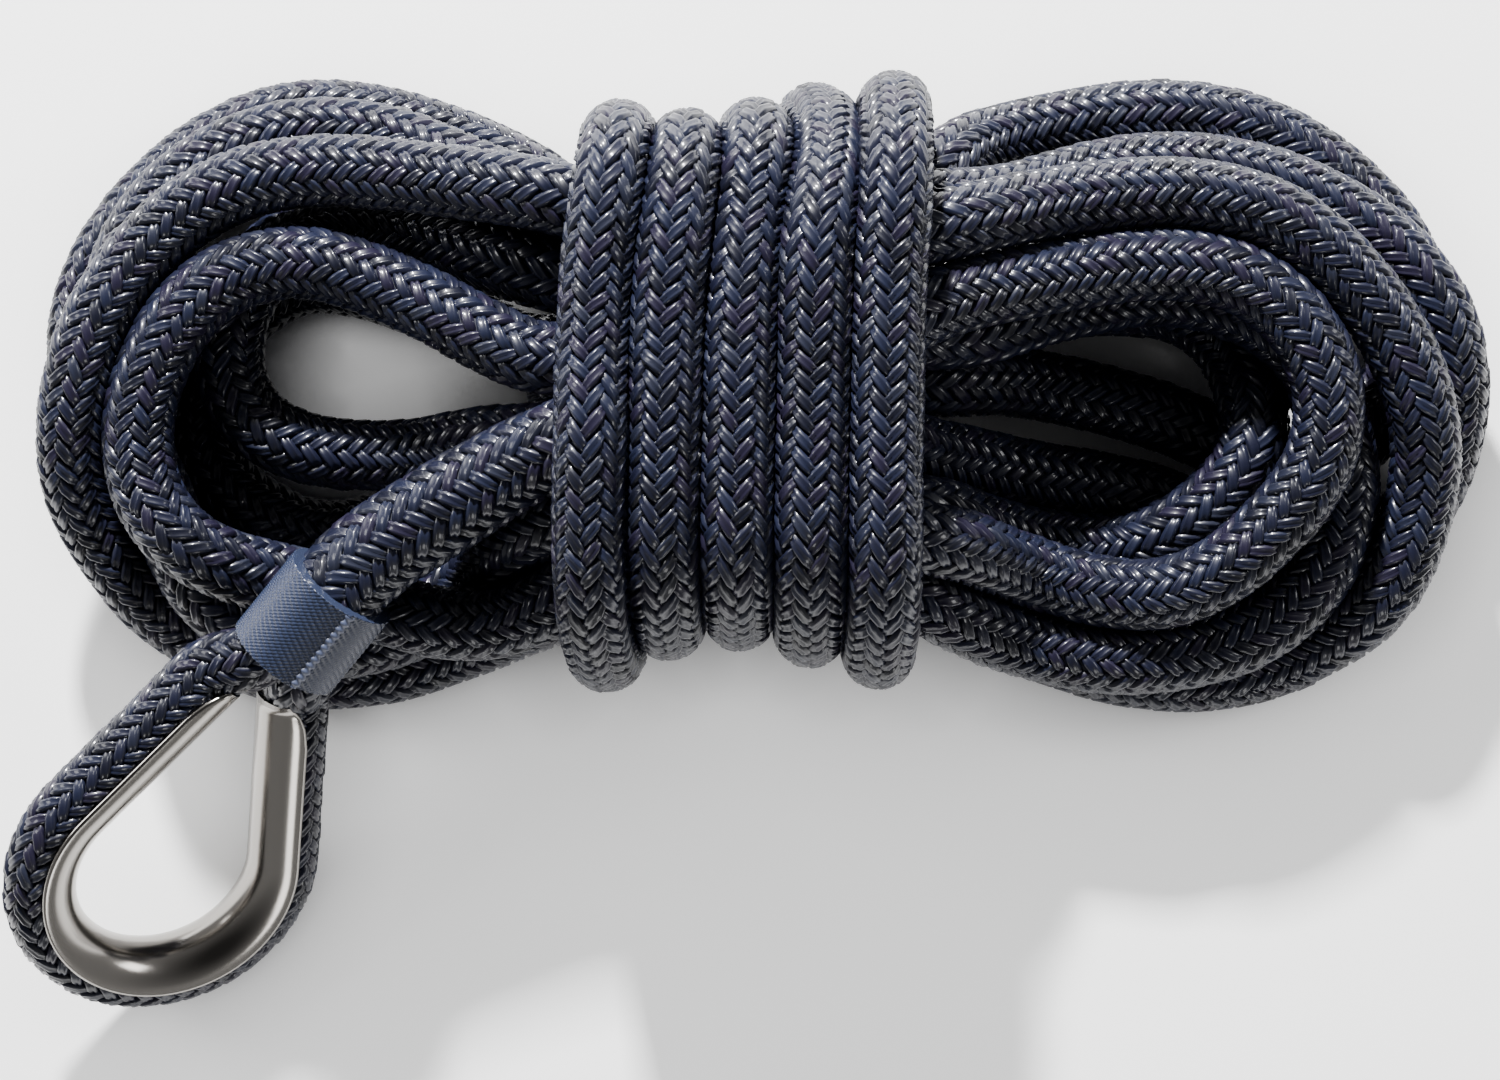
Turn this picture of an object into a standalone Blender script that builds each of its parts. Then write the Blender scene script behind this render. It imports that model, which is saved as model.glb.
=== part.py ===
"""A coiled dock line: a braided line laid up as a hank with five wraps, and an eye round a steel thimble."""

import math

import bpy
from mathutils import Matrix, Vector

# Driving dimensions, mm.
ROPE_RADIUS = 6.4          # a 14 mm line where its turns press together
SPLICE_RADIUS = 7.9        # the line above the eye, thickened by the buried tail
EYE_ROPE_RADIUS = 5.5      # the line squeezed into the thimble's groove
ROW_HEIGHTS = {1: 21.4, 2: 33.8, 3: 46.2}    # strand centres in the waist
LANE_PITCH = 14.3          # strand spacing across the waist
WRAP_OFFSET = 14.4         # wrap centre line outside the strand centres
WRAP_REST = 5.891          # wrap centre line above the flat it rests on
WRAP_X = (-26.9, -13.5, 0.0, 13.4, 26.9)
WRAP_SPREAD = (1.28, 1.10, 1.05, 1.10, 1.26)
WRAP_LEAN = (4.0, 3.4, 2.8, 2.0, 1.0)        # top of each wrap ahead of its underside
LOOP_DEPTH = 44.0          # half-length of the rounded end of a loop
STEP = 9.0                 # spacing of the points along a turn

# Thimble, mm and degrees.
CROWN_CENTRE = Vector((-109.3, -89.8, 20.6))
THIMBLE_HEADING = 242.35
THIMBLE_PITCH = 17.1
THIMBLE_ROLL = 33.9
OPENING_RADIUS = 16.8
OPENING_LENGTH = 45.0      # crown centre to where the two sides of the opening would meet
CHANNEL_RADIUS = 7.4
METAL = 1.4
LEG_LENGTH = 36.0

# Throat, mm.
THROAT = Vector((-78.7, -43.0, 40.8))
THROAT_AXIS = Vector((0.62, 0.73, 0.28)).normalized()
TAPE_LENGTH = 18.0
TAPE_HALF_WIDTH = 10.8
TAPE_HALF_DEPTH = 9.0
TAPE_WALL = 1.0

# End of the line, mm.
WRAP_1_ENDS = (17.5, -12.2)   # wrap 1 stops at these Y on its underside: the line ends there
END_START = Vector((-27.4, -11.8, 7.1))
END_HEADING = -0.04           # radians off +Y
END_LENGTH = 27.0
END_CORE_RADIUS = 3.6
WHIP_RADIUS = 6.7

# One row per turn: the lanes (row, place) of its two runs through the waist, then for the left
# and the right loop: reach, upper y, lower y, upper z, lower z, the two angles between which
# the height changes, and how far along its way the lower run is beside the wraps.
TURNS = (
    ((1, 0.5), (1, -0.5), (101.0, 17.0, -20.0, 7.0, 7.0, 60, -60), (94.0, 14.0, -22.0, 7.0, 7.0, 60, -60)),
    ((1, 1.5), (1, -1.5), (122.0, 50.0, -36.5, 7.0, 7.0, 60, -60), (129.0, 50.0, -50.0, 7.0, 7.0, 60, -60)),
    ((2, 1.0), (2, 0.0), (96.0, 30.0, -12.0, 22.5, 22.5, 60, -60), (101.0, 28.0, -13.0, 22.5, 22.5, 60, -60)),
    ((2, 2.0), (2, -1.0), (112.0, 47.0, -27.5, 22.5, 22.5, 60, -60), (134.0, 49.0, -33.0, 22.5, 22.5, 60, -60)),
    ((3, 0.5), (3, -1.5), (109.5, 22.0, -43.0, 37.5, 23.2, -15, -80), (110.0, 17.0, -38.0, 37.5, 37.5, 60, -60)),
    ((3, 1.5), (2, -2.0), (125.5, 42.0, -51.5, 38.5, 7.0, 0, -80), (125.0, 34.0, -53.0, 37.5, 22.5, -45, -88)),
)
# How far a run is on its way to the loop's y and z beside the wraps, where it isn't the usual.
USUAL_FAN = (0.45, 0.34)
FANS = {
    (5, -1, -1): (0.40, 0.20),
    (6, -1, -1): (0.38, 0.44),
    (2, -1, -1): (0.32, 0.50),
    (2, 1, 1): (0.40, 0.34),
}


def clear_scene():
    for obj in list(bpy.data.objects):
        bpy.data.objects.remove(obj, do_unlink=True)


def new_material(name, colour, roughness, metallic=0.0):
    material = bpy.data.materials.new(name)
    material.use_nodes = True
    material.diffuse_color = (*colour, 1.0)
    shader = material.node_tree.nodes["Principled BSDF"]
    shader.inputs["Base Color"].default_value = (*colour, 1.0)
    shader.inputs["Roughness"].default_value = roughness
    shader.inputs["Metallic"].default_value = metallic
    return material


def add_object(name, data, material, collection):
    data.materials.append(material)
    obj = bpy.data.objects.new(name, data)
    collection.objects.link(obj)
    return obj


def smooth_line(points, closed, per_span=12):
    """A smooth curve through the points (centripetal Catmull-Rom)."""
    points = [Vector(p) for p in points]
    count = len(points)
    line = []
    for i in range(count if closed else count - 1):
        if closed:
            p0, p1, p2, p3 = (points[(i + k) % count] for k in (-1, 0, 1, 2))
        else:
            p1, p2 = points[i], points[i + 1]
            p0 = points[i - 1] if i else 2 * p1 - p2
            p3 = points[i + 2] if i + 2 < count else 2 * p2 - p1
        t1 = (p1 - p0).length ** 0.5
        t2 = t1 + (p2 - p1).length ** 0.5
        t3 = t2 + (p3 - p2).length ** 0.5
        for k in range(per_span):
            t = t1 + (t2 - t1) * k / per_span
            a1 = p0 * ((t1 - t) / t1) + p1 * (t / t1)
            a2 = p1 * ((t2 - t) / (t2 - t1)) + p2 * ((t - t1) / (t2 - t1))
            a3 = p2 * ((t3 - t) / (t3 - t2)) + p3 * ((t - t2) / (t3 - t2))
            b1 = a1 * ((t2 - t) / t2) + a2 * (t / t2)
            b2 = a2 * ((t3 - t) / (t3 - t1)) + a3 * ((t - t1) / (t3 - t1))
            line.append(b1 * ((t2 - t) / (t2 - t1)) + b2 * ((t - t1) / (t2 - t1)))
    if not closed:
        line.append(points[-1])
    return line


def even_points(line, step, closed):
    """The line again, with its points this far apart."""
    if closed:
        line = line + [line[0]]
    lengths = [(b - a).length for a, b in zip(line, line[1:])]
    count = max(2, round(sum(lengths) / step))
    spacing = sum(lengths) / count
    points = []
    travelled = 0.0
    for a, b, length in zip(line, line[1:], lengths):
        while len(points) * spacing <= travelled + length and len(points) <= count:
            points.append(a.lerp(b, (len(points) * spacing - travelled) / length))
        travelled += length
    if not closed and len(points) <= count:
        points.append(line[-1])
    return points[:count] if closed else points


def tube(name, points, radius, material, collection, closed=False, tilt=0.0, scales=None):
    """A line of rope: a poly curve with a round bevel, 8 sides."""
    curve = bpy.data.curves.new(name, "CURVE")
    curve.dimensions = "3D"
    curve.bevel_depth = radius / 1000
    curve.bevel_resolution = 2
    curve.use_fill_caps = not closed
    spline = curve.splines.new("POLY")
    spline.points.add(len(points) - 1)
    for i, (dot, point) in enumerate(zip(spline.points, points)):
        dot.co = (point[0] / 1000, point[1] / 1000, point[2] / 1000, 1.0)
        dot.tilt = tilt
        dot.radius = scales[i] if scales else 1.0
    spline.use_cyclic_u = closed
    spline.use_smooth = True
    return add_object(name, curve, material, collection)


def ease(t):
    t = min(max(t, 0.0), 1.0)
    return t * t * (3 - 2 * t)


def run_to_loop(side, lane, loop_y, loop_z, fan):
    """Three points of one run, from under the wraps out to its loop."""
    row, place = lane
    waist_y = place * LANE_PITCH
    waist_z = ROW_HEIGHTS[row]
    to_y, to_z = fan
    settle = 0.6 if row == 3 else 0.0
    return [
        (side * 25.0, waist_y * 1.08, waist_z - settle),
        (side * 40.0, waist_y * 1.1 * (1 - to_y) + loop_y * to_y, waist_z * (1 - to_z) + loop_z * to_z),
        (side * 55.0, waist_y * 0.07 + loop_y * 0.93, waist_z * 0.12 + loop_z * 0.88),
    ]


def loop_points(number, side, upper_lane, lower_lane, loop):
    """One loop beyond the wraps, from the upper run round to the lower run."""
    reach, top, bottom, top_z, bottom_z, from_angle, to_angle = loop
    depth = min(LOOP_DEPTH, reach - 60.0)
    middle = (top + bottom) / 2
    half = (top - bottom) / 2
    points = run_to_loop(side, upper_lane, top, top_z, FANS.get((number, side, 1), USUAL_FAN))
    for angle in (90, 60, 33, 8, -17, -42, -66, -90):
        turn = math.radians(angle)
        rise = ease((angle - to_angle) / (from_angle - to_angle))
        x = side * (reach - depth + depth * math.cos(turn))
        points.append((x, middle + half * math.sin(turn), bottom_z + (top_z - bottom_z) * rise))
    lower = run_to_loop(side, lower_lane, bottom, bottom_z, FANS.get((number, side, -1), USUAL_FAN))
    return points + lower[::-1]


def add_turns(material, collection):
    for number, (upper, lower, left, right) in enumerate(TURNS, 1):
        points = [(0.0, upper[1] * LANE_PITCH, ROW_HEIGHTS[upper[0]])]
        points += loop_points(number, 1, upper, lower, right)
        points += [(0.0, lower[1] * LANE_PITCH, ROW_HEIGHTS[lower[0]])]
        points += loop_points(number, -1, upper, lower, left)[::-1]
        line = even_points(smooth_line(points, True), STEP, True)
        tube(f"turn_{number}", line, ROPE_RADIUS, material, collection, closed=True)


def wrap_points(x, lean, spread):
    """One wrap: a ring that hugs the stack of strands, from the underside round."""
    half = []
    wide, narrow = 2.0 * LANE_PITCH * spread, 1.5 * LANE_PITCH * spread
    slope = math.degrees(math.atan2(wide - narrow, ROW_HEIGHTS[2] - ROW_HEIGHTS[1]))
    corners = (
        (narrow, ROW_HEIGHTS[1], -90, -slope),
        (wide, ROW_HEIGHTS[2], -slope, slope),
        (narrow, ROW_HEIGHTS[3], slope, 90),
    )
    for y, z, start, end in corners:
        for k in range(4):
            angle = math.radians(start + (end - start) * k / 3)
            half.append((y + WRAP_OFFSET * math.cos(angle), z + WRAP_OFFSET * math.sin(angle)))
    ring = half + [(-y, z) for y, z in reversed(half)]
    lowest = min(z for _, z in ring)
    return [(x + lean * y / 100, y, z - lowest + WRAP_REST) for y, z in ring]


def add_wraps(material, collection):
    for number, (x, lean, spread) in enumerate(zip(WRAP_X, WRAP_LEAN, WRAP_SPREAD), 1):
        points = wrap_points(x, lean, spread)
        if number == 1:
            first, last = ((x + lean * y / 100, y, WRAP_REST) for y in WRAP_1_ENDS)
            points = [first] + points + [last]
        whole = number > 1
        tube(f"wrap_{number}", points, ROPE_RADIUS, material, collection, closed=whole, tilt=math.pi / 8)


def thimble_axes():
    """Long axis towards the crown, sideways axis, and the axis through the eye."""
    heading, pitch, roll = (math.radians(v) for v in (THIMBLE_HEADING, THIMBLE_PITCH, THIMBLE_ROLL))
    along = Vector((math.cos(heading) * math.cos(pitch), math.sin(heading) * math.cos(pitch), -math.sin(pitch)))
    level = Vector((math.sin(heading), -math.cos(heading), 0.0))
    if along.cross(level).z < 0:
        level = -level
    upright = along.cross(level)
    side = level * math.cos(roll) - upright * math.sin(roll)
    through = upright * math.cos(roll) + level * math.sin(roll)
    return along, side, through


def eye_stations(offset, legs):
    """(place, outward direction) along the heart shape, this far outside the opening."""
    along, side, _ = thimble_axes()
    alpha = math.asin(OPENING_RADIUS / OPENING_LENGTH)
    limit = math.pi / 2 + alpha
    radius = OPENING_RADIUS + offset
    flat = []
    for leg in reversed(legs):
        flat.append((-limit, leg))
    for k in range(25):
        flat.append((-limit + 2 * limit * k / 24, 0.0))
    for leg in legs:
        flat.append((limit, leg))
    stations = []
    for angle, leg in flat:
        sign = 1 if angle > 0 else -1
        out = along * math.cos(angle) + side * math.sin(angle)
        back = -along * math.cos(alpha) - side * (sign * math.sin(alpha))
        stations.append((CROWN_CENTRE + out * radius + back * leg, out))
    return stations


def add_thimble(material, collection):
    """A half-round channel swept round the heart shape, its legs cut to tongues."""
    _, _, through = thimble_axes()
    legs = [LEG_LENGTH * t for t in (0.2, 0.4, 0.6, 0.78, 0.92, 1.0)]
    stations = eye_stations(CHANNEL_RADIUS, legs)
    lip = {0: 52.0, 1: 74.0, 2: 86.0}
    points = []
    for index, (place, out) in enumerate(stations):
        from_end = min(index, len(stations) - 1 - index)
        half = math.radians(lip.get(from_end, 88.0))
        ring = []
        for k in range(11):
            angle = -half + 2 * half * k / 10
            ring.append((CHANNEL_RADIUS, angle))
        ring.append((CHANNEL_RADIUS - METAL / 2, half + 0.10))
        for k in range(11):
            angle = half - 2 * half * k / 10
            ring.append((CHANNEL_RADIUS - METAL, angle))
        ring.append((CHANNEL_RADIUS - METAL / 2, -half - 0.10))
        for radius, angle in ring:
            points.append(place - out * (radius * math.cos(angle)) + through * (radius * math.sin(angle)))
    size = 24
    faces = []
    for i in range(len(stations) - 1):
        for k in range(size):
            a, b = i * size + k, i * size + (k + 1) % size
            faces.append((a, b, b + size, a + size))
    last = (len(stations) - 1) * size
    for k in range(11):
        if k < 10:
            a, b, c, d = k, k + 1, 21 - k, 22 - k
            faces.append((d, c, b, a))
            faces.append((last + a, last + b, last + c, last + d))
    faces.append((10, 12, 11))
    faces.append((last + 10, last + 11, last + 12))
    faces.append((0, 23, 22))
    faces.append((last + 0, last + 22, last + 23))
    mesh = bpy.data.meshes.new("thimble")
    mesh.from_pydata([p / 1000 for p in points], [], faces)
    mesh.validate()
    mesh.update()
    obj = add_object("thimble", mesh, material, collection)
    face_outwards(obj)
    for polygon in mesh.polygons:
        polygon.use_smooth = True
    return obj


def face_outwards(obj):
    """Normals outwards; the mesh is closed, so its signed volume tells."""
    mesh = obj.data
    mesh.calc_loop_triangles()
    volume = 0.0
    for triangle in mesh.loop_triangles:
        a, b, c = (mesh.vertices[v].co for v in triangle.vertices)
        volume += a.dot(b.cross(c))
    if volume < 0:
        mesh.flip_normals()


def throat_axes():
    """Axes across the throat: sideways, and up out of it."""
    _, side, _ = thimble_axes()
    side = (side - THROAT_AXIS * side.dot(THROAT_AXIS)).normalized()
    up = THROAT_AXIS.cross(side)
    if up.z < 0:
        up = -up
    return side, up


def add_eye_rope(material, collection):
    side, _ = throat_axes()
    stations = eye_stations(CHANNEL_RADIUS, [9.0, 18.0, 27.0, 36.0])
    route = [place for place, _ in stations]
    near = THROAT - THROAT_AXIS * (TAPE_LENGTH / 2 + 2.0)
    end = THROAT - THROAT_AXIS * 1.5
    points = [end - side * 4.85, near - side * 4.9] + route + [near + side * 4.9, end + side * 4.85]
    scales = [0.82, 0.82] + [1.0] * len(route) + [0.82, 0.82]
    tube("eye_rope", points, EYE_ROPE_RADIUS, material, collection, scales=scales)


def add_splice(material, collection):
    points = [
        THROAT - THROAT_AXIS * 0.6,
        THROAT + THROAT_AXIS * 9.0,
        (-64.0, -28.8, 44.2),
        (-54.0, -22.0, 45.6),
        (-45.5, -16.8, 46.4),
        (-38.0, -12.6, 46.8),
    ]
    line = even_points(smooth_line(points, False), 5.0, False)
    scales = [0.92, 0.93, 0.97] + [1.0] * (len(line) - 5) + [0.96, 0.9]
    tube("splice", line, SPLICE_RADIUS, material, collection, scales=scales)


def add_standing_part(material, collection):
    points = [
        (-37.0, -12.07, 46.8),
        (-31.0, -9.4, 46.7),
        (-25.0, -7.9, 46.2),
        (0.0, -7.15, 46.2),
        (30.0, -7.8, 46.0),
    ]
    line = even_points(smooth_line(points, False), STEP, False)
    tube("standing_part", line, ROPE_RADIUS, material, collection)


def oval_loop(curve, grow, step):
    """One closed outline of the tape, in the curve's own plane; step is the height of its folded end."""
    count = 48
    fold = math.radians(66)
    spline = curve.splines.new("POLY")
    spline.points.add(count - 1)
    for k, dot in enumerate(spline.points):
        past = 2 * math.pi * k / count
        rise = step * ease(1 - past / math.radians(120)) if k else 0.0
        across = (TAPE_HALF_WIDTH + grow + rise) * math.cos(fold + past)
        high = (TAPE_HALF_DEPTH + grow + rise) * math.sin(fold + past)
        dot.co = (across / 1000, high / 1000, 0.0, 1.0)
    spline.use_cyclic_u = True


def add_tape(material, collection):
    """The seizing round the throat: an oval band, its folded end standing proud of the turn below it."""
    curve = bpy.data.curves.new("throat_tape", "CURVE")
    curve.dimensions = "2D"
    curve.fill_mode = "BOTH"
    curve.extrude = (TAPE_LENGTH / 2 - 0.3) / 1000
    curve.bevel_depth = 0.0003
    curve.bevel_resolution = 1
    oval_loop(curve, -0.3, 0.8)
    oval_loop(curve, 0.3 - TAPE_WALL, 0.0)
    obj = add_object("throat_tape", curve, material, collection)
    side, up = throat_axes()
    along = side.cross(up)
    turned = Matrix((side, up, along)).transposed().to_4x4()
    obj.matrix_world = Matrix.Translation(THROAT / 1000) @ turned
    return obj


def turned_piece(name, profile, material, collection):
    """A turned solid on its own Z axis: its profile is (radius, z), top to bottom down the outer side."""
    mesh = bpy.data.meshes.new(name)
    points = [(radius / 1000, 0.0, z / 1000) for radius, z in profile]
    mesh.from_pydata(points, [(i, i + 1) for i in range(len(points) - 1)], [])
    obj = add_object(name, mesh, material, collection)
    screw = obj.modifiers.new("Screw", "SCREW")
    screw.steps = 24
    screw.render_steps = 24
    screw.use_merge_vertices = True
    screw.merge_threshold = 0.00001
    screw.use_smooth_shade = True
    obj.rotation_euler = (-math.pi / 2, 0.0, END_HEADING)
    obj.location = END_START / 1000
    return obj


def add_line_end(rope, core, twine, collection):
    """The bitter end on the underside: cover, core and whipping."""
    length = END_LENGTH
    cover = [
        (END_CORE_RADIUS + 0.3, length),
        (5.6, length),
        (6.0, length - 0.6),
        (6.0, length - 4.0),
        (5.5, length - 4.6),
        (5.5, length - 15.4),
        (ROPE_RADIUS, length - 16.4),
        (ROPE_RADIUS, 0.0),
        (0.0, 0.0),
    ]
    bore = [(0.0, length - 12.0), (END_CORE_RADIUS + 0.3, length - 12.0)]
    turned_piece("end_cover", bore + cover, rope, collection)
    plug = [
        (0.0, length),
        (END_CORE_RADIUS, length),
        (END_CORE_RADIUS, length - 11.7),
        (0.0, length - 11.7),
    ]
    turned_piece("end_core", plug, core, collection)
    band = [
        (5.8, length - 5.0),
        (WHIP_RADIUS - 0.2, length - 5.0),
        (WHIP_RADIUS, length - 5.3),
        (WHIP_RADIUS, length - 14.7),
        (WHIP_RADIUS - 0.2, length - 15.0),
        (5.8, length - 15.0),
        (5.8, length - 5.0),
    ]
    turned_piece("end_whipping", band, twine, collection)


def build():
    clear_scene()
    parts = bpy.data.collections.new("coiled_dock_line")
    bpy.context.scene.collection.children.link(parts)
    rope = new_material("navy_braid", (0.018, 0.026, 0.075), 0.62)
    steel = new_material("polished_steel", (0.66, 0.64, 0.61), 0.16, 1.0)
    tape = new_material("blue_grey_tape", (0.16, 0.19, 0.33), 0.5)
    core = new_material("white_core", (0.75, 0.75, 0.72), 0.7)
    twine = new_material("dark_twine", (0.012, 0.014, 0.03), 0.55)
    add_turns(rope, parts)
    add_wraps(rope, parts)
    add_thimble(steel, parts)
    add_eye_rope(rope, parts)
    add_splice(rope, parts)
    add_standing_part(rope, parts)
    add_tape(tape, parts)
    add_line_end(rope, core, twine, parts)
    print("built", len(parts.objects), "pieces")


build()
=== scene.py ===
import math

import bpy
import numpy as np
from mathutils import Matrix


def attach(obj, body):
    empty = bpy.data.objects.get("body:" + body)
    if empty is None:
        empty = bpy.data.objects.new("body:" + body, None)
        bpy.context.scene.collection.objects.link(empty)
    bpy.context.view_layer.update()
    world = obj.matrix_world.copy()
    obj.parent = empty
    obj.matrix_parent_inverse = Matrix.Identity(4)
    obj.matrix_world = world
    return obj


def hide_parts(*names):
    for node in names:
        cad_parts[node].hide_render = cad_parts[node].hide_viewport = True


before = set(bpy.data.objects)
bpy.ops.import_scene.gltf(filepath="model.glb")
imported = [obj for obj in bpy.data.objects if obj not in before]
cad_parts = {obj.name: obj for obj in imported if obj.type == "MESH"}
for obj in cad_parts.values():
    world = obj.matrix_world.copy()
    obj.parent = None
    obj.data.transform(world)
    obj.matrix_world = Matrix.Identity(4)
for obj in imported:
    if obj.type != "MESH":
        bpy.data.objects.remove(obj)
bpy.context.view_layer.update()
mm = 0.001

rope = {    # mm
    "radius": 6.9,      # to the tops of the yarns
    "contact": 13.5,    # strand spacing where two stretches press together
    "fine": 1.5,        # point spacing of the finished centre line
}
waistRow = {1: 21.4, 2: 33.8, 3: 46.2}    # heights of the strand layers under the wraps
wraps = {
    "offset": 14.2,     # centre line of a wrap outside the strands it holds
    "widest": 50.0,     # y where the lean is measured
    "curl": 1.5,
    "rings": [          # middle x, far lean, near lean, half width inside the offset, shift in y
        (-27.1, 9.8, 1.0, 33.2, -0.8),
        (-14.2, 8.6, 1.2, 29.8, 0.3),
        (-1.9, 2.9, 1.0, 29.2, 1.0),
        (12.2, 4.0, 0.8, 32.3, 1.0),
        (24.6, 1.9, 1.2, 36.4, 1.8),
    ],
}
turns = {    # loops from upper run to lower run; the lower run crosses the waist at this y and row
    1: {
        "waist": (-14.3, 1),
        "left": [
            (-36, 7, 21), (-48, 12, 13), (-60, 17, 8), (-72, 21, 7), (-82, 22.8, 7), (-90, 20, 7),
            (-97, 14, 7), (-102, 5, 7), (-104, -5, 7), (-102, -14, 7), (-96.5, -22, 7),
            (-89, -27.5, 7), (-80, -29, 7), (-68, -27, 7), (-50, -21, 12), (-36, -17, 20),
        ],
        "right": [
            (36, 13, 21), (50, 15.5, 12), (64, 17.5, 7.5), (76, 18, 7), (87, 15.5, 8), (95, 8, 12),
            (98, -1, 17), (97, -9, 20.4), (93, -17, 20.6), (86.5, -24, 20), (77, -29.5, 18),
            (66, -30, 15), (54, -28, 14), (44, -25, 19), (36, -22, 30),
        ],
    },
    2: {
        "waist": (0.0, 1),
        "left": [
            (-36, 38.5, 21), (-50, 46, 12), (-65, 51.5, 7), (-81, 53.8, 7), (-95, 50.8, 7),
            (-107.5, 43.2, 7), (-117, 33.5, 7), (-123.5, 22, 7), (-125.5, 8, 7), (-123.5, -6, 7),
            (-117.5, -18, 7), (-108, -29, 7), (-97, -37, 7), (-85, -41.5, 7), (-72, -40, 7),
            (-58, -35.5, 7), (-46, -31.5, 13), (-36, -29, 20),
        ],
        "right": [
            (36, 43, 20), (43, 46.5, 12), (51, 49, 8), (61, 51.4, 7), (72, 53.2, 7), (82, 53.8, 7),
            (92, 52.7, 7), (102, 49.5, 7), (111, 44.3, 7), (119, 37.5, 7), (126, 28.5, 7),
            (130, 18, 7), (127, 7, 7), (122, -4, 7), (116, -12, 7), (107, -13.5, 7), (97, -10, 7),
            (87, -6, 7), (76, -2.8, 7), (63, 0.5, 7), (52, 2.6, 9), (44, 3.6, 14), (36, 4, 20),
        ],
    },
    3: {
        "waist": (-21.5, 2),
        "left": [
            (-36, 22.5, 34), (-50, 26, 28), (-60, 29, 23), (-70, 31, 21), (-80, 31, 20.5),
            (-89, 26, 20), (-95, 16, 20), (-97, 5, 20), (-93.5, -4, 20), (-86, -9.5, 20),
            (-76, -11.5, 20), (-66, -12, 20), (-54, -11, 22), (-44, -10, 27), (-36, -10, 33),
        ],
        "right": [
            (36, 10, 33), (50, 13.5, 26), (62, 16.5, 21), (74, 18.7, 20), (84, 18.8, 20),
            (94, 15.5, 20), (103, 8.5, 20), (110, -1.5, 20), (113.5, -12, 20), (114, -21, 20),
            (111.5, -31, 20), (105, -39.5, 20), (96, -46, 20), (85, -49.3, 20), (72, -50, 20),
            (60, -48, 20), (48, -44, 23), (36, -39, 30),
        ],
    },
    4: {
        "waist": (-7.2, 2),
        "left": [
            (-36, 34.5, 34), (-50, 40.5, 27), (-65, 47, 21), (-80, 49.2, 20), (-94, 46.5, 20),
            (-105, 40, 20), (-113.5, 30.5, 20), (-119, 18, 19.5), (-120.5, 5, 18.5),
            (-118.5, -8, 18), (-113, -20, 18), (-105, -31, 18), (-96, -40, 18.5), (-85, -45.5, 19),
            (-72, -46, 19), (-58, -41, 20), (-46, -34, 26), (-36, -28, 33),
        ],
        "right": [
            (36, 34, 34), (50, 35.6, 28), (60, 39, 23), (70, 41.6, 20.5), (80, 42.6, 20),
            (90, 42, 20), (100, 39.8, 20), (110, 35.8, 20), (120, 29.5, 20), (128, 21.5, 20),
            (133.5, 11, 19.5), (135.3, 0, 17.5), (134.5, -10, 13), (131, -20, 8.5), (124, -29, 7),
            (114, -33, 7), (103, -31.5, 7), (92, -27, 7), (82, -22, 7), (70, -18, 7),
            (56, -15.8, 9), (46, -14, 14), (36, -13, 20),
        ],
    },
    5: {
        "waist": (-21.5, 3),
        "left": [
            (-35, 4.5, 46), (-48, 10.5, 42), (-60, 16.5, 39), (-70, 20.5, 37), (-79, 23.5, 36),
            (-88, 23, 36), (-97.5, 19.5, 35), (-105.5, 12, 35), (-110.5, 2.5, 34),
            (-112.5, -7, 33), (-111, -17.5, 31), (-106, -27, 28), (-98, -34, 24), (-88, -38, 20.5),
            (-75, -42, 20.5), (-62, -42.5, 22), (-50, -41, 25), (-36, -37.5, 32),
        ],
        "right": [
            (36, 16, 46), (50, 19.5, 42), (62, 22.5, 39), (74, 24.3, 37), (85, 24.2, 36),
            (95, 20.5, 35), (103, 13.5, 35), (108, 4, 34.5), (109.5, -5, 34), (107, -15, 33),
            (100, -24.5, 31), (90, -32.5, 28), (80, -36.8, 25), (70, -38, 23.5), (60, -36.8, 23),
            (50, -33.3, 26), (43, -30.5, 33), (36, -28.5, 42),
        ],
    },
    6: {
        "waist": (-28.6, 1),
        "left": [
            (-36, 35.5, 46), (-50, 37.5, 42), (-64, 39.5, 38), (-79, 40.5, 36), (-93, 38, 35),
            (-105, 31.5, 33), (-114, 22, 31), (-120.5, 10, 29), (-123.5, -3, 27), (-123, -15, 23),
            (-119, -26, 18), (-112, -36, 12), (-102, -44, 8), (-88, -50, 7), (-72, -51, 7),
            (-58, -48.5, 7), (-46, -44, 11), (-36, -40, 17),
        ],
        "right": [
            (36, 29.5, 46), (50, 32, 41), (64, 34, 38), (78, 35, 36), (92, 33.8, 35),
            (104, 29, 34), (114, 20.5, 32), (122, 10, 30), (127, -1, 28), (129, -12, 25),
            (127.5, -23, 21), (123, -33.5, 17), (116, -43, 12), (107, -49.5, 8), (96, -53.3, 7),
            (84, -54.3, 7), (72, -52.8, 7), (60, -49.2, 7), (48, -44.8, 10), (36, -41, 17),
        ],
    },
}
layingOrder = [5, 6, 4, 3, 1, 2]    # from the eye to the wraps

thimble = {
    "centre": np.array([-109.3, -89.8, 20.6]),
    "heading": 242.35, "pitch": 17.1, "roll": 33.9,    # degrees
    "opening": 16.8,      # half width of the eye
    "length": 45.0,       # centre of the bend to the point of the heart
    "channel": 7.4,       # outer radius of the channel's section
    "inner": 5.95,        # inner radius of the same
    "legStep": 2.25,
    "legSteps": 16,
    "arcSteps": 72,
    "sectionPoints": 13,
    "narrowing": ([0, 2, 5, 9], [60, 75, 85, 89]),    # mm from a leg's end, half angle of its section
}
throat = np.array([-78.7, -43.0, 40.8])
throatAxis = np.array([0.62, 0.73, 0.28])
throatAxis /= np.linalg.norm(throatAxis)

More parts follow.
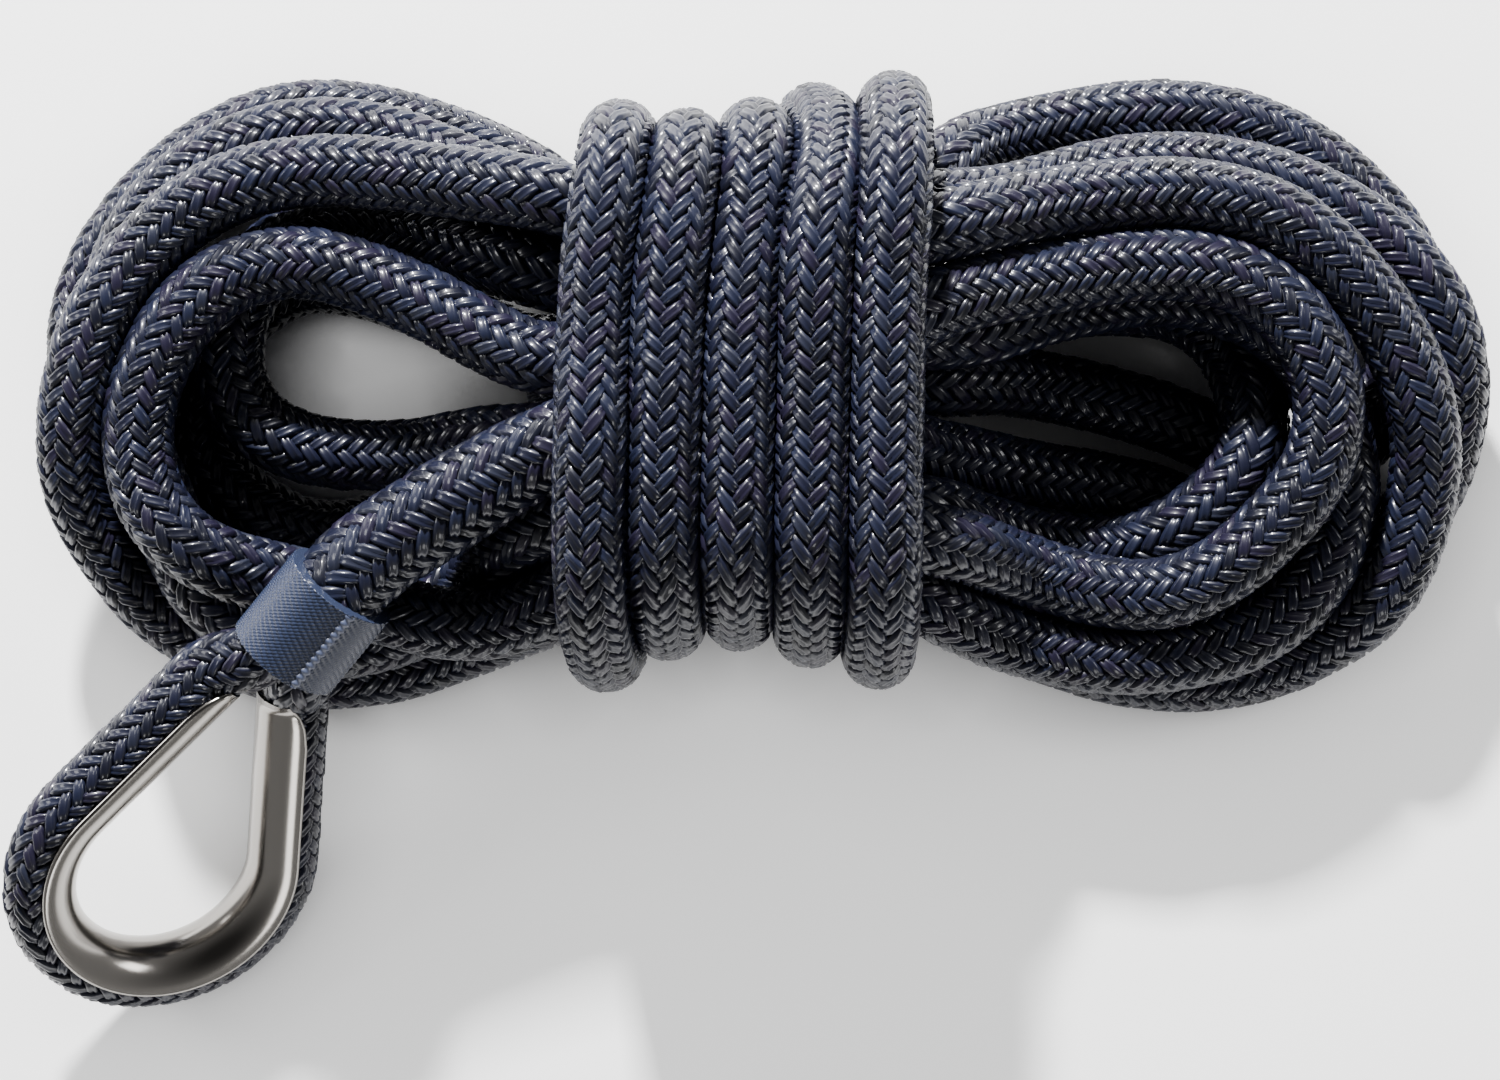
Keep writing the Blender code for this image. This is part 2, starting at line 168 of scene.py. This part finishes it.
print("camera")
bpy.ops.object.camera_add(location=(0.0017, -0.028, 0.8), rotation=(0, 0, 0))
camera = bpy.context.object
camera.name = "camera"
camera.data.lens = 99.0
camera.data.sensor_width = 36.0
camera.data.clip_start = 0.05
camera.data.dof.use_dof = False
bpy.context.scene.camera = camera


def smoothLine(points, perSpan=10):
    p = np.asarray(points, float)
    p = np.vstack([2 * p[0] - p[1], p, 2 * p[-1] - p[-2]])
    out = []
    for i in range(1, len(p) - 2):
        p0, p1, p2, p3 = p[i - 1:i + 3]
        t1 = max(np.linalg.norm(p1 - p0), 1e-6) ** 0.5
        t2 = t1 + max(np.linalg.norm(p2 - p1), 1e-6) ** 0.5
        t3 = t2 + max(np.linalg.norm(p3 - p2), 1e-6) ** 0.5
        t = (t1 + (t2 - t1) * np.arange(perSpan) / perSpan)[:, None]
        a1 = p0 * (t1 - t) / t1 + p1 * t / t1
        a2 = p1 * (t2 - t) / (t2 - t1) + p2 * (t - t1) / (t2 - t1)
        a3 = p2 * (t3 - t) / (t3 - t2) + p3 * (t - t2) / (t3 - t2)
        b1 = a1 * (t2 - t) / t2 + a2 * t / t2
        b2 = a2 * (t3 - t) / (t3 - t1) + a3 * (t - t1) / (t3 - t1)
        out.append(b1 * (t2 - t) / (t2 - t1) + b2 * (t - t1) / (t2 - t1))
    return np.vstack(out + [p[-2:-1]])


def distances(line):
    return np.concatenate([[0.0], np.cumsum(np.linalg.norm(np.diff(line, axis=0), axis=1))])


def evenly(line, step):
    s = distances(line)
    at = np.linspace(0, s[-1], max(2, round(s[-1] / step)) + 1)
    return np.stack([np.interp(at, s, line[:, k]) for k in range(3)], axis=1)


def ease(t):
    t = min(max(t, 0.0), 1.0)
    return t * t * (3 - 2 * t)


def wrapPoints(x, farLean, nearLean, half, shift):    # from the underside up, over the top and down
    side = []
    narrow = half * 0.8
    offset = wraps["offset"]
    slope = math.degrees(math.atan2(half - narrow, waistRow[2] - waistRow[1]))
    for y, z, start, end in (
        (narrow, waistRow[1], -90, -slope),
        (half, waistRow[2], -slope, slope),
        (narrow, waistRow[3], slope, 90),
    ):
        for k in range(4):
            angle = math.radians(start + (end - start) * k / 3)
            side.append((y + offset * math.cos(angle), z + offset * math.sin(angle)))
    ring = side + [(-y, z) for y, z in reversed(side)]
    leaning = []
    for y, z in ring:
        out = y / wraps["widest"]
        lean = farLean * out ** wraps["curl"] if y > 0 else -nearLean * out
        leaning.append((x + lean, y + shift, z))
    return leaning


def thimbleAxes():
    h, p, r = (math.radians(thimble[k]) for k in ("heading", "pitch", "roll"))
    along = np.array([math.cos(h) * math.cos(p), math.sin(h) * math.cos(p), -math.sin(p)])
    level = np.array([-math.sin(h), math.cos(h), 0.0])
    if np.cross(along, level)[2] < 0:
        level = -level
    upright = np.cross(along, level)
    side = level * math.cos(r) - upright * math.sin(r)
    through = upright * math.cos(r) + level * math.sin(r)
    return along, side, through


def eyeStations(legs, arcSteps):    # places and outward directions along the heart
    along, side, _ = thimbleAxes()
    alpha = math.asin(thimble["opening"] / thimble["length"])
    limit = math.pi / 2 + alpha
    radius = thimble["opening"] + thimble["channel"]
    flat = [(-limit, leg) for leg in reversed(legs)]
    flat += [(-limit + 2 * limit * k / arcSteps, 0.0) for k in range(arcSteps + 1)]
    flat += [(limit, leg) for leg in legs]
    places, outs = [], []
    for angle, leg in flat:
        sign = 1 if angle > 0 else -1
        out = along * math.cos(angle) + side * math.sin(angle)
        back = -along * math.cos(alpha) - side * (sign * math.sin(alpha))
        places.append(thimble["centre"] + out * radius + back * leg)
        outs.append(out)
    return np.array(places), np.array(outs)


def throatAxes():
    _, side, _ = thimbleAxes()
    side = side - throatAxis * np.dot(side, throatAxis)
    side /= np.linalg.norm(side)
    up = np.cross(throatAxis, side)
    return side, up if up[2] > 0 else -up


def eyePoints():    # down one leg from the throat, round the thimble and up the other
    side, _ = throatAxes()
    places, _ = eyeStations([9.0, 18.0, 27.0, 36.0], 24)
    near = throat - throatAxis * 11.0
    inside = throat - throatAxis * 4.0
    return ([inside - side * 3.4, near - side * 4.9] + list(places)
            + [near + side * 4.9, inside + side * 2.9, throat + throatAxis * 2.0 + side * 0.8])


def route():    # the whole line, from the spliced end to the bitter end
    points = eyePoints()
    fixed = len(points)
    points += [
        throat + throatAxis * 9.0 - throatAxes()[0] * 0.8,
        (-64.4, -28.4, 44.2), (-54.0, -22.0, 45.6), (-45.5, -16.8, 46.4), (-37.0, -12.1, 46.8),
        (-25.0, -7.9, 46.2), (-5.0, -4.0, 46.2), (15.0, 4.0, 46.2),
    ]
    for place, number in enumerate(layingOrder):
        turn = turns[number]
        y, row = turn["waist"]
        points += turn["right"] + [(0.0, y, waistRow[row])] + turn["left"][::-1]
        if place + 1 < len(layingOrder):
            here = np.array(turn["left"][0])
            there = np.array(turns[layingOrder[place + 1]]["right"][0])
            points += [tuple(here * 0.7 + there * 0.3), tuple(here * 0.3 + there * 0.7)]
    beforeWraps = len(points)
    points += [(-5.0, 26.0, 20.0), (10.0, 34.0, 15.0), (22.0, 45.0, 16.0)]
    for number in (5, 4, 3, 2, 1):
        ring = wrapPoints(*wraps["rings"][number - 1])
        points += ring[2:] if number == 5 else ring
    points += [(-31.0, -13.0, 7.0), (-34.0, 2.0, 7.0), (-36.0, 13.0, 7.0)]
    return points, fixed, beforeWraps


settling = {
    "step": 4.5,                       # mm between the points that move
    "rounds": 700,
    "skip": 2.2,                       # contacts along the line that a point doesn't push
    "search": 5, "searchEvery": 12,    # mm past contact, rounds
    "share": 0.3, "over": 1.4,         # part of an overlap taken up in a round
    "home": (0.025, 0.025, 0.012),     # pull back to the route
    "stiffness": 0.055,
    "sink": 0.01,
    "freeing": 6,                      # points between the held eye and the free line
}


def settle(line, pinned):    # presses crossing strands apart and down on the floor
    home = line.copy()
    p = line.copy()
    count = len(p)
    contact = rope["contact"]
    gap = int(settling["skip"] * contact / settling["step"])
    lowest = rope["radius"]
    loose = np.ones((count, 1))
    loose[:pinned] = 0.0
    loose[pinned:pinned + settling["freeing"], 0] = np.linspace(0.15, 1.0, settling["freeing"])
    for step in range(settling["rounds"]):
        if step % settling["searchEvery"] == 0:
            near = np.linalg.norm(p[:, None] - p[None], axis=2) < contact + settling["search"]
            first, second = np.nonzero(np.triu(near, gap))
        apart = p[second] - p[first]
        d = np.linalg.norm(apart, axis=1)
        touch = d < contact
        i, j = first[touch], second[touch]
        push = apart[touch] / d[touch, None] * (contact - d[touch, None]) * settling["share"]
        move = np.zeros_like(p)
        np.add.at(move, i, -push)
        np.add.at(move, j, push)
        many = np.ones(count)
        np.add.at(many, i, 1)
        np.add.at(many, j, 1)
        p += loose * move / np.sqrt(many)[:, None] * settling["over"]
        p += loose * (home - p) * settling["home"]
        bend = np.zeros_like(p)
        bend[2:-2] = p[:-4] - 4 * p[1:-3] + 6 * p[2:-2] - 4 * p[3:-1] + p[4:]
        p -= loose * bend * settling["stiffness"]
        p[:, 2] = np.where(loose[:, 0] > 0, np.maximum(p[:, 2] - settling["sink"], lowest), p[:, 2])
    apart = np.linalg.norm(p[:, None] - p[None], axis=2)
    apart[np.abs(np.subtract.outer(np.arange(count), np.arange(count))) < gap] = 99
    print("settled: closest", round(apart.min(), 2), "mm; moved at most",
          round(np.linalg.norm(p - home, axis=1).max(), 1), "mm")
    return p


def transportedFrames(line):    # tangents and two normals that don't twist
    tangent = np.gradient(line, axis=0)
    tangent /= np.linalg.norm(tangent, axis=1)[:, None]
    normal = np.empty_like(line)
    side = np.cross(tangent[0], (0, 0, 1.0))
    normal[0] = side / np.linalg.norm(side)
    for i in range(1, len(line)):
        n = normal[i - 1] - tangent[i] * np.dot(normal[i - 1], tangent[i])
        normal[i] = n / np.linalg.norm(n)
    return tangent, normal, np.cross(tangent, normal)


def radiusAlong(s):
    return np.interp(s, [mark[0] for mark in radiusMarks], [mark[1] for mark in radiusMarks])


print("centre line")
points, fixedCount, beforeWraps = route()
rough = smoothLine(points)
eyeLength = distances(smoothLine(points[:fixedCount]))[-1]
coarse = evenly(rough, settling["step"])
settled = settle(coarse, int(eyeLength / settling["step"]) + 2)
centre = evenly(smoothLine(settled, 4), rope["fine"])
along = distances(centre)
lineLength = along[-1]
wrapsFrom = distances(smoothLine(points[:beforeWraps]))[-1] * lineLength / distances(rough)[-1]
print("line", round(lineLength), "mm long,", len(centre), "points")


def addMesh(name, points, faces, materials):    # points in mm
    mesh = bpy.data.meshes.new(name)
    points = np.asarray(points, np.float32).reshape(-1, 3) * mm
    faces = np.asarray(faces, np.int32)
    size = faces.shape[1]
    mesh.vertices.add(len(points))
    mesh.vertices.foreach_set("co", points.ravel())
    mesh.loops.add(faces.size)
    mesh.loops.foreach_set("vertex_index", faces.ravel())
    mesh.polygons.add(len(faces))
    mesh.polygons.foreach_set("loop_start", np.arange(0, faces.size, size, dtype=np.int32))
    mesh.polygons.foreach_set("loop_total", np.full(len(faces), size, dtype=np.int32))
    mesh.polygons.foreach_set("use_smooth", np.full(len(faces), True))
    mesh.update(calc_edges=True)
    mesh.validate()
    for material in materials:
        mesh.materials.append(material)
    obj = bpy.data.objects.new(name, mesh)
    bpy.context.scene.collection.objects.link(obj)
    return obj


def addMaterial(name, colour, roughness, metallic=0.0, **sockets):
    material = bpy.data.materials.new(name)
    material.use_nodes = True
    shader = material.node_tree.nodes["Principled BSDF"]
    shader.inputs["Base Color"].default_value = (*colour, 1.0)
    shader.inputs["Roughness"].default_value = roughness
    shader.inputs["Metallic"].default_value = metallic
    for socket, value in sockets.items():
        shader.inputs[socket.replace("_", " ")].default_value = value
    return material


def grid(rows, columns, closed):    # quads, joined round when closed
    r = np.arange(rows - 1)[:, None]
    c = np.arange(columns if closed else columns - 1)[None]
    after = (c + 1) % columns
    low, high = r * columns, (r + 1) * columns
    quads = np.stack([low + c, low + after, high + after, high + c], axis=-1)
    return quads.reshape(-1, 4)


tangents, normals, binormals = transportedFrames(centre)
radiusMarks = [    # distance and radius: squeezed in the thimble, thick over the bury
    (0.0, 6.1), (18.0, 6.4), (eyeLength - 24, 6.4), (eyeLength - 8, 6.4),
    (eyeLength + 5, 9.0), (eyeLength + 30, 8.9), (eyeLength + 62, 7.9),
    (eyeLength + 100, 7.0), (eyeLength + 125, 6.9), (lineLength, 6.9),
]


def onLine(s, angle, lift):    # distance along the line, angle round it, mm above its yarn tops
    s = np.clip(s, 0.0, lineLength)
    place = np.stack([np.interp(s, along, centre[:, k]) for k in range(3)], axis=-1)
    normal = np.stack([np.interp(s, along, normals[:, k]) for k in range(3)], axis=-1)
    binormal = np.stack([np.interp(s, along, binormals[:, k]) for k in range(3)], axis=-1)
    reach = (radiusAlong(s) + lift)[..., None]
    return place + (np.cos(angle)[..., None] * normal + np.sin(angle)[..., None] * binormal) * reach


print("body of the line")
body = {"step": 3.0, "sides": 18, "depth": 1.25, "colour": (0.0035, 0.0045, 0.012)}
rings = np.linspace(0.0, lineLength, int(lineLength / body["step"]))
turn = 2 * math.pi * np.arange(body["sides"]) / body["sides"]
s, a = np.meshgrid(rings, turn, indexing="ij")
bodyPoints = onLine(s, a, np.full(s.shape, -body["depth"]))
bodyFaces = grid(len(rings), body["sides"], True)
line = addMesh("line", bodyPoints, bodyFaces, [addMaterial("line_shadow", body["colour"], 0.8)])
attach(line, "root")
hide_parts(*[f"turn_{k}" for k in range(1, 7)], *[f"wrap_{k}" for k in range(1, 6)],
            "splice", "standing_part", "eye_rope", "end_cover")

print("braid")
yarns = {
    "colours": [
        (0.0062, 0.0072, 0.0185), (0.0076, 0.0096, 0.0235), (0.009, 0.0074, 0.0195),
        (0.004, 0.0046, 0.011), (0.0105, 0.0122, 0.0235),
    ],
    "shares": [0.36, 0.22, 0.16, 0.16, 0.10],
    "roughness": 0.42,
    "specular": 0.22,
    "carriers": 12,       # each way round
    "pitch": 3.6,         # one V of the braid along the line
    "across": [-1.0, -0.66, -0.33, 0.0, 0.33, 0.66, 1.0],
    "bumps": [-0.85, -0.08, -0.03, -0.30, -0.03, -0.08, -0.85],    # height across a float
    "lengthwise": [-1.0, -0.74, -0.34, 0.34, 0.74, 1.0],
    "fill": 0.98,         # width of a float in its share
    "reach": 1.42,        # half length of a float in strands
    "flat": 0.3,          # part of a float that lies level
    "dive": 1.35,         # how far its ends sink
    "taper": 0.18,
    "spread": {"skew": 0.05, "size": 0.04, "lift": 0.07},
    "pieceLength": 460.0,
}
yarnMaterials = [
    addMaterial(f"yarn_{k}", colour, yarns["roughness"], Specular_IOR_Level=yarns["specular"],
                Coat_Weight=0.5, Coat_Roughness=0.11)
    for k, colour in enumerate(yarns["colours"])
]
chance = np.random.default_rng(11)


def braidPiece(name, fromS, toS):    # a float goes over two strands and under two
    n = yarns["carriers"]
    pitch = yarns["pitch"]
    span = 2 * np.array([fromS, toS]) / pitch
    centres = []
    for strand in range(n):
        first = int(math.ceil((span[0] + strand + strand - 0.5) / 4))
        last = int(math.floor((span[1] + strand + strand - 0.5) / 4))
        for k in range(first, last + 1):
            centres.append((strand, -strand + 0.5 + 4 * k, 0))
        low = strand - span[1] - (2 - strand) - 0.5
        high = strand - span[0] - (2 - strand) - 0.5
        for k in range(int(math.ceil(low / 4)), int(math.floor(high / 4)) + 1):
            centres.append((2 - strand + 0.5 + 4 * k, strand, 1))
    centres = np.array(centres, float)
    v = (centres[:, 1] - centres[:, 0]) / 2
    s = v * pitch
    hidden = np.interp(s, along, waistMask) > 0.5
    centres = centres[(s >= fromS) & (s < toS) & ~hidden]
    count = len(centres)
    t, w = np.meshgrid(yarns["lengthwise"], yarns["across"], indexing="ij")
    bump = np.tile(yarns["bumps"], (len(yarns["lengthwise"]), 1))
    end = np.clip((np.abs(t) - yarns["flat"]) / (1 - yarns["flat"]), 0, 1)
    drop = yarns["dive"] * end ** 2
    skew = chance.normal(0, yarns["spread"]["skew"], count)[:, None, None]
    size = 1 + chance.normal(0, yarns["spread"]["size"], count)[:, None, None]
    lift = chance.normal(0, yarns["spread"]["lift"], count)[:, None, None]
    lengthwise = t[None] * yarns["reach"] * size
    across = w[None] * 0.5 * yarns["fill"] * (1 - yarns["taper"] * end[None]) + lengthwise * skew
    isZ = centres[:, 2][:, None, None] > 0.5
    aLine = centres[:, 0][:, None, None] + np.where(isZ, lengthwise, across)
    bLine = centres[:, 1][:, None, None] + np.where(isZ, across, lengthwise)
    s = (bLine - aLine) / 2 * pitch
    angle = (aLine + bLine) / (2 * n) * 2 * math.pi
    points = onLine(s, angle, bump[None] - drop[None] + lift)
    rows, columns = t.shape
    one = grid(rows, columns, False)
    starts = (np.arange(count) * rows * columns)[:, None, None]
    faces = np.where(isZ, one[None, :, ::-1], one[None]) + starts
    obj = addMesh(name, points, faces.reshape(-1, 4), yarnMaterials)
    pick = chance.choice(len(yarns["colours"]), count, p=yarns["shares"])
    obj.data.polygons.foreach_set("material_index", np.repeat(pick, len(one)).astype(np.int32))
    obj.data.update()
    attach(obj, "root")
    return obj


inWaist = (np.abs(centre[:, 0]) < 24) & (along > eyeLength) & (along < wrapsFrom)
waistMask = inWaist.astype(float)    # no floats where the wraps hide the line
pieceCount = int(math.ceil(lineLength / yarns["pieceLength"]))
edges = np.linspace(0.0, lineLength, pieceCount + 1)
covers = [braidPiece(f"cover_{k + 1}", edges[k], edges[k + 1]) for k in range(pieceCount)]
print(len(covers), "pieces of braid,", sum(len(o.data.polygons) for o in covers), "faces")

print("thimble")
thimbleThrough = thimbleAxes()[2]
outer, inner = thimble["channel"], thimble["inner"]
lip = [(outer - 0.13, 0.055), (6.95, 0.1), (6.4, 0.1), (inner + 0.13, 0.055)]    # rolled edge
top = thimble["sectionPoints"] - 1
legs = [thimble["legStep"] * k for k in range(1, thimble["legSteps"] + 1)]
places, outs = eyeStations(legs, thimble["arcSteps"])
ringPoints = []
for index, (place, out) in enumerate(zip(places, outs)):
    fromEnd = min(index, len(places) - 1 - index) * thimble["legStep"]
    half = math.radians(np.interp(fromEnd, *thimble["narrowing"]))
    arc = [-half + 2 * half * k / top for k in range(top + 1)]
    profile = [(outer, angle) for angle in arc]
    profile += [(radius, half + past) for radius, past in lip]
    profile += [(inner, angle) for angle in reversed(arc)]
    profile += [(radius, -half - past) for radius, past in reversed(lip)]
    for radius, angle in profile:
        ringPoints.append(place - out * (radius * math.cos(angle))
                          + thimbleThrough * (radius * math.sin(angle)))
size = len(profile)
steelFaces = grid(len(places), size, True)
caps = [(k, k + 1, 2 * top + 4 - k, 2 * top + 5 - k) for k in range(top)]
caps += [(top, top + 1, top + 4, top + 5), (top + 1, top + 2, top + 3, top + 4)]
caps += [(0, size - 1, size - 4, 2 * top + 5), (size - 1, size - 2, size - 3, size - 4)]
caps = np.array(caps)
steelFaces = np.vstack([steelFaces, caps, caps[:, ::-1] + (len(places) - 1) * size])
# painted dark reflection: the steel's colour is darker than real steel, standing in for the dark
# surroundings it reflects
steel = addMaterial("polished_steel", (0.31, 0.292, 0.27), 0.19, 1.0)
thimbleObject = addMesh("thimble_steel", ringPoints, steelFaces, [steel])
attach(thimbleObject, "root")
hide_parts("thimble")

print("tape")
band = {
    "length": 18.0, "halfWidth": 10.9, "halfDepth": 9.6,
    "fold": 94.0, "foldRise": 0.8, "foldFades": 120.0,    # degrees round the rope, mm, degrees
    "around": 330, "rows": 90,
    "cord": 0.24, "cordSpacing": 1.25, "slope": 0.62,     # diagonal cords of the weave
    "pick": 0.09, "pickSpacing": 0.8, "pickSlope": 0.9,   # finer threads across them
    "hem": {-4: 2.8, -3: 1.2, -2: 0.5, -1: 0.13},         # rounding of the edges, row by row
}
tapeSide, tapeUp = throatAxes()
tapeAlong = np.cross(tapeSide, tapeUp)
perimeter = 2 * math.pi * (band["halfWidth"] + band["halfDepth"]) / 2
bandPoints = []
for row in range(-4, band["rows"] + 5):
    height = (min(max(row, 0), band["rows"]) / band["rows"] - 0.5) * band["length"]
    inset = band["hem"].get(min(row, band["rows"] - row), 0.0)
    for k in range(band["around"]):
        past = 2 * math.pi * k / band["around"]
        angle = math.radians(band["fold"]) + past
        fade = ease(1 - past / math.radians(band["foldFades"]))
        rise = band["foldRise"] * fade * ease(past / 0.02)
        reached = past / (2 * math.pi) * perimeter
        weave = (height + reached * band["slope"]) / band["cordSpacing"]
        woven = band["cord"] * abs(math.sin(math.pi * weave))
        cross = (height - reached * band["pickSlope"]) / band["pickSpacing"]
        woven += band["pick"] * math.sin(2 * math.pi * cross)
        grow = rise + woven - inset
        bandPoints.append(
            throat + tapeSide * (band["halfWidth"] + grow) * math.cos(angle)
            + tapeUp * (band["halfDepth"] + grow) * math.sin(angle) + tapeAlong * height
        )
tapeCloth = addMaterial("tape_cloth", (0.021, 0.028, 0.056), 0.26)
tapeFaces = grid(band["rows"] + 9, band["around"], True)
tape = addMesh("tape", bandPoints, tapeFaces, [tapeCloth])
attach(tape, "root")
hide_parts("throat_tape")

seam = {
    "width": 0.75, "height": 0.65, "stitch": 1.5, "knot": 0.22, "rows": 120,
    "colour": (0.06, 0.072, 0.12), "roughness": 0.3,
}
seamPoints = []
for row in range(seam["rows"] + 1):
    height = (row / seam["rows"] - 0.5) * (band["length"] - 0.3)
    for k in range(9):
        turn = math.pi * (k / 8) * 1.2 - 0.1 * math.pi
        knot = 1 + seam["knot"] * math.sin(2 * math.pi * height / seam["stitch"])
        angle = math.radians(band["fold"]) + (0.05 + seam["width"] * knot * math.cos(turn) / 10)
        grow = band["foldRise"] * 0.95 + seam["height"] * knot * math.sin(turn)
        seamPoints.append(
            throat + tapeSide * (band["halfWidth"] + grow) * math.cos(angle)
            + tapeUp * (band["halfDepth"] + grow) * math.sin(angle) + tapeAlong * height
        )
seamFaces = grid(seam["rows"] + 1, 9, False)[:, ::-1]
seamThread = addMaterial("seam_thread", seam["colour"], seam["roughness"])
seamRidge = addMesh("tape_seam", seamPoints, seamFaces, [seamThread])
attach(seamRidge, "root")

print("bitter end")
whipping = {
    "from": 15.0, "to": 5.0,    # mm before the end
    "turns": 11, "rows": 132, "sides": 36, "twine": 0.75,
    "colour": (0.012, 0.014, 0.03), "roughness": 0.42,
}
s, a = np.meshgrid(
    np.linspace(lineLength - whipping["from"], lineLength - whipping["to"], whipping["rows"]),
    2 * math.pi * np.arange(whipping["sides"]) / whipping["sides"], indexing="ij")
part = (s - s.min()) / (s.max() - s.min())
ridge = np.abs(np.sin(math.pi * part * whipping["turns"]))
whipPoints = onLine(s, a, whipping["twine"] * (ridge - 1))
waxedTwine = addMaterial("waxed_twine", whipping["colour"], whipping["roughness"])
whipFaces = grid(whipping["rows"], whipping["sides"], True)
twine = addMesh("whipping", whipPoints, whipFaces, [waxedTwine])
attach(twine, "root")
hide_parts("end_whipping")

cutEnd = {
    "before": [9.0, 0.2, 0, 0, 0],              # mm before the end of the line, ring by ring
    "lift": [-3.3, -3.3, -3.6, -5.2, -6.88],    # mm from the yarn tops
    "crown": [0, 0.2, 0.45, 0.6, 0.65],         # mm past the ring
    "sides": 28,
    "colour": (0.72, 0.72, 0.69), "roughness": 0.7,
}
s, a = np.meshgrid(
    lineLength - np.array(cutEnd["before"]),
    2 * math.pi * np.arange(cutEnd["sides"]) / cutEnd["sides"], indexing="ij")
coreLift = np.array(cutEnd["lift"])[:, None] + np.zeros_like(a)
corePoints = onLine(s, a, coreLift) + tangents[-1] * np.array(cutEnd["crown"])[:, None, None]
whiteCore = addMaterial("white_core", cutEnd["colour"], cutEnd["roughness"])
core = addMesh("core", corePoints, grid(len(cutEnd["lift"]), cutEnd["sides"], True), [whiteCore])
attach(core, "root")
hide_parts("end_core")

print("floor and light")
bpy.ops.mesh.primitive_plane_add(size=8.0, location=(0, 0, -0.0002))
floor = bpy.context.object
floor.name = "floor"
# painted light: the floor's emission makes it read whiter than its lamps light it
paper = addMaterial("pale_floor_painted_glow", (0.93, 0.93, 0.93), 0.9, Emission_Color=(1, 1, 1, 1))
paperTree = paper.node_tree
openness = paperTree.nodes.new("ShaderNodeAmbientOcclusion")
openness.inputs["Distance"].default_value = 0.022
paintedGlow = paperTree.nodes.new("ShaderNodeMapRange")    # painted glow: the floor glows though it is no lamp, only where it lies open, fading out in the narrow gaps under the line
paintedGlow.inputs["From Min"].default_value = 0.38
paintedGlow.inputs["From Max"].default_value = 0.95
paintedGlow.inputs["To Max"].default_value = 0.7
shader = paperTree.nodes["Principled BSDF"]
paperTree.links.new(openness.outputs["AO"], paintedGlow.inputs["Value"])
paperTree.links.new(paintedGlow.outputs["Result"], shader.inputs["Emission Strength"])
floor.data.materials.append(paper)


def addLight(name, place, target, size, power):    # a square lamp turned to its target
    bpy.ops.object.light_add(type="AREA", location=place)
    light = bpy.context.object
    light.name = name
    light.data.shape = "SQUARE"
    light.data.size = size
    light.data.energy = power
    away = np.array(place) - np.array(target)
    away /= np.linalg.norm(away)
    turn = math.atan2(away[1], away[0])
    light.rotation_euler = (0, math.acos(away[2]), turn)
    return light


addLight("window", (-0.2, 1.0, 0.62), (0, 0, 0.02), 0.09, 72.0)
addLight("left_bank", (-1.3, 0.5, 0.75), (0, 0, 0), 0.5, 9.0)
addLight("right_bank", (1.3, 0.4, 0.75), (0, 0, 0), 0.5, 7.0)
addLight("near_bank", (0.2, -1.4, 0.8), (0, 0, 0), 0.5, 5.0)
world = bpy.data.worlds.new("studio")
world.use_nodes = True
tree = world.node_tree
background = tree.nodes["Background"]
direction = tree.nodes.new("ShaderNodeTexCoord")
split = tree.nodes.new("ShaderNodeSeparateXYZ")
dimming = tree.nodes.new("ShaderNodeMapRange")
dimming.inputs["From Min"].default_value = 0.45
dimming.inputs["From Max"].default_value = 0.97
dimming.inputs["To Min"].default_value = 1.0
dimming.inputs["To Max"].default_value = 0.10
tree.links.new(direction.outputs["Generated"], split.inputs["Vector"])
tree.links.new(split.outputs["Z"], dimming.inputs["Value"])
tree.links.new(dimming.outputs["Result"], background.inputs["Color"])
background.inputs["Strength"].default_value = 0.36
bpy.context.scene.world = world
